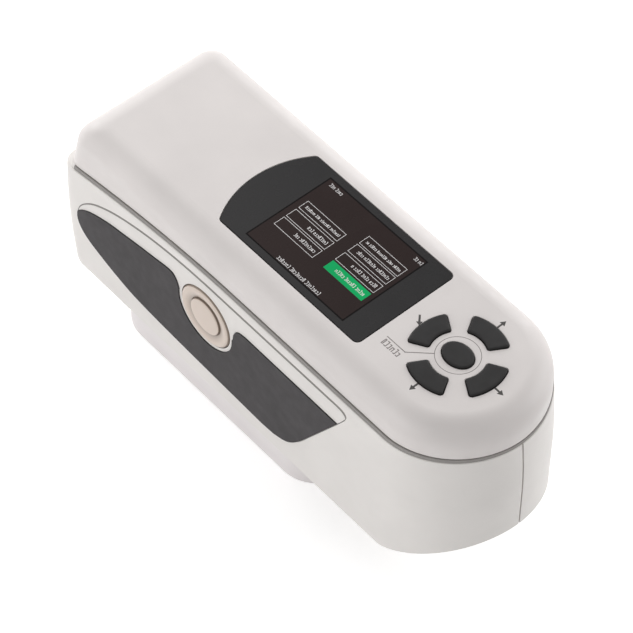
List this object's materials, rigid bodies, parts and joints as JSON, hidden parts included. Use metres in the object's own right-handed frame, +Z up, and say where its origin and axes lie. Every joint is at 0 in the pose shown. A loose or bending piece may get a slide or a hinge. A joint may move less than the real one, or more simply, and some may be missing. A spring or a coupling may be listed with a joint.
{
  "type": "portable colorimeter",
  "caption": "Hand-held colour meter with a long rounded body, a top display, a round keypad on its nose, a side test button, rubber grips and a base block with a measuring port.",
  "frame": {"origin": "on the ground, under the middle of the body", "axes": "+X along the body towards the round nose with the keypad, +Y across it away from the test button, +Z up from the base block to the display"},
  "size_m": [0.205, 0.0673, 0.0993],
  "materials": {
    "cover": "fine-grained off-white",
    "shell": "fine-grained off-white",
    "foot": "satin pale grey",
    "gasket": "dark grey",
    "grip": "matt dark grey",
    "key": "matt black",
    "mat": "translucent grey",
    "window": "clear, printed black round the display",
    "screen": "dark display",
    "button": "semi-gloss beige",
    "board": "green solder mask",
    "chip": "black moulding",
    "black_plastic": "matt black",
    "white_diffuser": "matt white coating",
    "lens": "clear",
    "lamp": "clear yellowish",
    "cell": "blue wrap",
    "steel": "plain"
  },
  "bodies": {
    "housing": {"top_cover": "cover", "shell_right": "shell", "shell_left": "shell", "side_panel_right": "shell", "side_panel_left": "shell", "base_block": "foot", "battery_cover": "foot", "seam_gasket": "gasket", "grip_pad_right": "grip", "grip_pad_left": "grip", "key_mat": "mat", "display_window": "window", "display_panel": "screen", "main_board": "board", "key_board": "board", "light_board": "board", "sensor_board": "board", "socket_board": "board", "processor": "chip", "test_switch": "chip", "colour_sensor": "chip", "display_frame": "black_plastic", "measuring_port_ring": "black_plastic", "detector_tube": "black_plastic", "charging_jack": "black_plastic", "sphere_lower": "white_diffuser", "sphere_upper": "white_diffuser", "detector_lens": "lens", "lamp_1": "lamp", "lamp_2": "lamp", "lamp_3": "lamp", "battery_pack": "cell", "switch_bracket": "steel", "data_socket": "steel", "case_screw_1": "steel", "case_screw_2": "steel", "case_screw_3": "steel", "case_screw_4": "steel", "base_screw_1": "steel", "base_screw_2": "steel", "base_screw_3": "steel", "base_screw_4": "steel", "key_board_screw_1": "steel", "key_board_screw_2": "steel", "main_board_screw_1": "steel", "main_board_screw_2": "steel", "battery_screw_1": "steel", "battery_screw_2": "steel"},
    "test_button": {"test_button": "button", "switch_plunger": "black_plastic"},
    "key_centre": {"key_centre": "key"},
    "key_front": {"key_front": "key"},
    "key_left": {"key_left": "key"},
    "key_rear": {"key_rear": "key"},
    "key_right": {"key_right": "key"}
  },
  "joints": [
    {"name": "key_centre_press", "type": "slide", "parent": "housing", "child": "key_centre", "axis": [0, 0, -1], "range_m": [0, 0.0008], "stiffness_N_per_m": 400, "springref_m": -0.002},
    {"name": "key_front_press", "type": "slide", "parent": "housing", "child": "key_front", "axis": [0, 0, -1], "range_m": [0, 0.0008], "stiffness_N_per_m": 400, "springref_m": -0.002},
    {"name": "key_left_press", "type": "slide", "parent": "housing", "child": "key_left", "axis": [0, 0, -1], "range_m": [0, 0.0008], "stiffness_N_per_m": 400, "springref_m": -0.002},
    {"name": "key_rear_press", "type": "slide", "parent": "housing", "child": "key_rear", "axis": [0, 0, -1], "range_m": [0, 0.0008], "stiffness_N_per_m": 400, "springref_m": -0.002},
    {"name": "key_right_press", "type": "slide", "parent": "housing", "child": "key_right", "axis": [0, 0, -1], "range_m": [0, 0.0008], "stiffness_N_per_m": 400, "springref_m": -0.002},
    {"name": "test_button_press", "type": "slide", "parent": "housing", "child": "test_button", "axis": [0, 1, 0], "range_m": [0, 0.0012], "stiffness_N_per_m": 600, "springref_m": -0.002}
  ]
}
